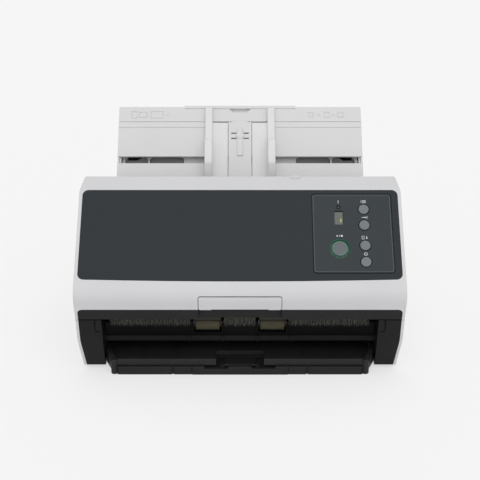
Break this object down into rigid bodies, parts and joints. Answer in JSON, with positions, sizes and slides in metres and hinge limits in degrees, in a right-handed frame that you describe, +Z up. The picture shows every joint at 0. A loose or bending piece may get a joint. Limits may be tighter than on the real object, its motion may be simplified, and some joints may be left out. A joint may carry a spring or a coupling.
{
  "type": "document scanner",
  "caption": "Desktop sheet-fed document scanner with a hinged feeder cover, sliding side guides on a sloping chute, and a pull-out stacker.",
  "frame": {"origin": "centre of the overall box, on the surface that the scanner stands on", "axes": "+X to the right as the user faces it, +Y from the front to the back, +Z up"},
  "size_m": [0.3, 0.1934, 0.2067],
  "materials": {
    "white_shell": "fine moulded texture",
    "dark_plastic": "fine moulded texture",
    "gloss_panel": "gloss",
    "grey_plate": "satin",
    "button_grey": "satin",
    "ring_green": "translucent gloss",
    "lamp_lens": "clear",
    "window_glass": "polished",
    "display_window": "smoked gloss",
    "circuit_board": "solder mask",
    "black_housing": "satin",
    "khaki_rubber": "matte",
    "black_rubber": "matte",
    "shaft_steel": "ground",
    "sheet_steel": "zinc plated",
    "bearing_brass": "sintered",
    "gear_white": "natural acetal",
    "olive_acetal": "moulded acetal",
    "motor_can": "plated",
    "connector_shell": "plated",
    "chute_white": "fine moulded texture"
  },
  "bodies": {
    "base": {"left_side_cover": "white_shell", "right_side_cover": "white_shell", "front_bezel": "dark_plastic", "rear_cover": "white_shell", "base_pan": "dark_plastic", "bay_deck": "sheet_steel", "rubber_feet": "black_rubber", "lower_guide": "dark_plastic", "lower_glass": "window_glass", "lower_sensor": "black_housing", "side_frames": "sheet_steel", "shaft_bushings": "bearing_brass", "hinge_pins": "shaft_steel", "main_board": "circuit_board", "connectors": "connector_shell", "motor": "motor_can", "timing_belt": "black_rubber", "chute_plate": "chute_white", "chute_frame": "chute_white"},
    "adf": {"adf_cover": "white_shell", "front_panel": "gloss_panel", "operator_plate": "grey_plate", "scan_button_ring": "ring_green", "display_window": "display_window", "check_lamp": "lamp_lens", "operator_board": "circuit_board", "upper_front_bezel": "dark_plastic", "upper_guide_frame": "dark_plastic", "upper_glass": "window_glass", "upper_sensor": "black_housing"},
    "lever": {"cover_lever": "white_shell"},
    "brake": {"brake_rollers": "khaki_rubber"},
    "feed_idler_set": {"feed_idlers": "olive_acetal"},
    "exit_idler_set": {"exit_idlers": "olive_acetal"},
    "feed_drive": {"feed_gears": "gear_white", "feed_shaft": "shaft_steel", "feed_rollers": "khaki_rubber", "feed_pulley": "gear_white"},
    "exit_drive": {"exit_shaft": "shaft_steel", "exit_rollers": "khaki_rubber", "exit_pulley": "gear_white"},
    "pick_drive": {"pick_gear": "gear_white", "pick_shaft": "shaft_steel", "pick_rollers": "khaki_rubber"},
    "idler": {"idler_gear": "gear_white"},
    "motor_rotor": {"motor_pinion": "bearing_brass"},
    "left_guide": {"left_side_guide": "chute_white"},
    "right_guide": {"right_side_guide": "chute_white"},
    "guide_gear": {"guide_pinion": "gear_white"},
    "chute_slide_1": {"chute_extension": "chute_white"},
    "chute_slide_2": {"chute_end_extension": "chute_white"},
    "stacker_slide_1": {"stacker_tray": "dark_plastic"},
    "stacker_slide_2": {"stacker_extension": "dark_plastic"},
    "stacker_slide_3": {"stacker_end_extension": "dark_plastic"},
    "stop_flap": {"stacker_stop": "dark_plastic"},
    "function_button_key": {"function_button": "button_grey"},
    "send_button_key": {"send_button": "button_grey"},
    "manual_feed_button_key": {"manual_feed_button": "button_grey"},
    "power_button_key": {"power_button": "button_grey"},
    "scan_button_key": {"scan_button": "button_grey"}
  },
  "joints": [
    {"name": "adf_hinge", "type": "hinge", "parent": "base", "child": "adf", "pos_m": [0, 0.01519, 0.138], "axis": [-1, 0, 0], "range_deg": [0, 60]},
    {"name": "lever_pull", "type": "hinge", "parent": "adf", "child": "lever", "pos_m": [0, -0.09391, 0.0799], "axis": [-1, 0, 0], "range_deg": [0, 20], "stiffness_Nm_per_rad": 0.1},
    {"name": "brake_spin", "type": "hinge", "parent": "adf", "child": "brake", "pos_m": [0, -0.00492, 0.12366], "axis": [1, 0, 0], "continuous": true},
    {"name": "feed_idler_spin", "type": "hinge", "parent": "adf", "child": "feed_idler_set", "pos_m": [0, -0.02636, 0.09938], "axis": [1, 0, 0], "continuous": true},
    {"name": "exit_idler_spin", "type": "hinge", "parent": "adf", "child": "exit_idler_set", "pos_m": [0, -0.07882, 0.05455], "axis": [1, 0, 0], "continuous": true},
    {"name": "feed_spin", "type": "hinge", "parent": "base", "child": "feed_drive", "pos_m": [0, -0.01659, 0.08761], "axis": [1, 0, 0], "continuous": true},
    {"name": "exit_spin", "type": "hinge", "parent": "base", "child": "exit_drive", "pos_m": [0, -0.07033, 0.04431], "axis": [1, 0, 0], "continuous": true},
    {"name": "pick_spin", "type": "hinge", "parent": "base", "child": "pick_drive", "pos_m": [0, 0.00995, 0.10573], "axis": [1, 0, 0], "continuous": true},
    {"name": "idler_spin", "type": "hinge", "parent": "base", "child": "idler", "pos_m": [0, -0.00498, 0.09553], "axis": [1, 0, 0], "continuous": true},
    {"name": "motor_spin", "type": "hinge", "parent": "base", "child": "motor_rotor", "pos_m": [0, -0.00826, 0.06942], "axis": [1, 0, 0], "continuous": true},
    {"name": "left_guide_slide", "type": "slide", "parent": "base", "child": "left_guide", "axis": [-1, 0, 0], "range_m": [-0.0005, 0.082]},
    {"name": "right_guide_slide", "type": "slide", "parent": "base", "child": "right_guide", "axis": [1, 0, 0], "range_m": [-0.0005, 0.082]},
    {"name": "guide_pinion_spin", "type": "hinge", "parent": "base", "child": "guide_gear", "pos_m": [0, 0.05294, 0.15889], "axis": [0, -0.7547, 0.6561], "range_deg": [-591, 6]},
    {"name": "chute_extension_slide", "type": "slide", "parent": "base", "child": "chute_slide_1", "axis": [0, 0.6561, 0.7547], "range_m": [0, 0.045]},
    {"name": "chute_end_slide", "type": "slide", "parent": "chute_slide_1", "child": "chute_slide_2", "axis": [0, 0.6561, 0.7547], "range_m": [0, 0.05]},
    {"name": "stacker_tray_slide", "type": "slide", "parent": "base", "child": "stacker_slide_1", "axis": [0, -1, 0], "range_m": [0, 0.075]},
    {"name": "stacker_extension_slide", "type": "slide", "parent": "stacker_slide_1", "child": "stacker_slide_2", "axis": [0, -1, 0], "range_m": [0, 0.075]},
    {"name": "stacker_end_slide", "type": "slide", "parent": "stacker_slide_2", "child": "stacker_slide_3", "axis": [0, -1, 0], "range_m": [0, 0.075]},
    {"name": "stacker_stop_flip", "type": "hinge", "parent": "stacker_slide_3", "child": "stop_flap", "pos_m": [0, -0.08921, 0.0079], "axis": [1, 0, 0], "range_deg": [0, 95]},
    {"name": "function_button_press", "type": "slide", "parent": "adf", "child": "function_button_key", "axis": [0, 0.696, -0.7181], "range_m": [0, 0.0008], "stiffness_N_per_m": 600},
    {"name": "send_button_press", "type": "slide", "parent": "adf", "child": "send_button_key", "axis": [0, 0.696, -0.7181], "range_m": [0, 0.0008], "stiffness_N_per_m": 600},
    {"name": "manual_feed_button_press", "type": "slide", "parent": "adf", "child": "manual_feed_button_key", "axis": [0, 0.696, -0.7181], "range_m": [0, 0.0008], "stiffness_N_per_m": 600},
    {"name": "power_button_press", "type": "slide", "parent": "adf", "child": "power_button_key", "axis": [0, 0.696, -0.7181], "range_m": [0, 0.0008], "stiffness_N_per_m": 600},
    {"name": "scan_button_press", "type": "slide", "parent": "adf", "child": "scan_button_key", "axis": [0, 0.696, -0.7181], "range_m": [0, 0.0008], "stiffness_N_per_m": 600}
  ],
  "couplings": [
    {"joint": "exit_spin", "follows": "feed_spin", "ratio": 1.1539},
    {"joint": "pick_spin", "follows": "feed_spin", "ratio": 0.63636},
    {"joint": "idler_spin", "follows": "feed_spin", "ratio": -1},
    {"joint": "motor_spin", "follows": "feed_spin", "ratio": -2.3333},
    {"joint": "right_guide_slide", "follows": "left_guide_slide", "ratio": 1},
    {"joint": "guide_pinion_spin", "follows": "left_guide_slide", "rad_per_m": -125}
  ]
}
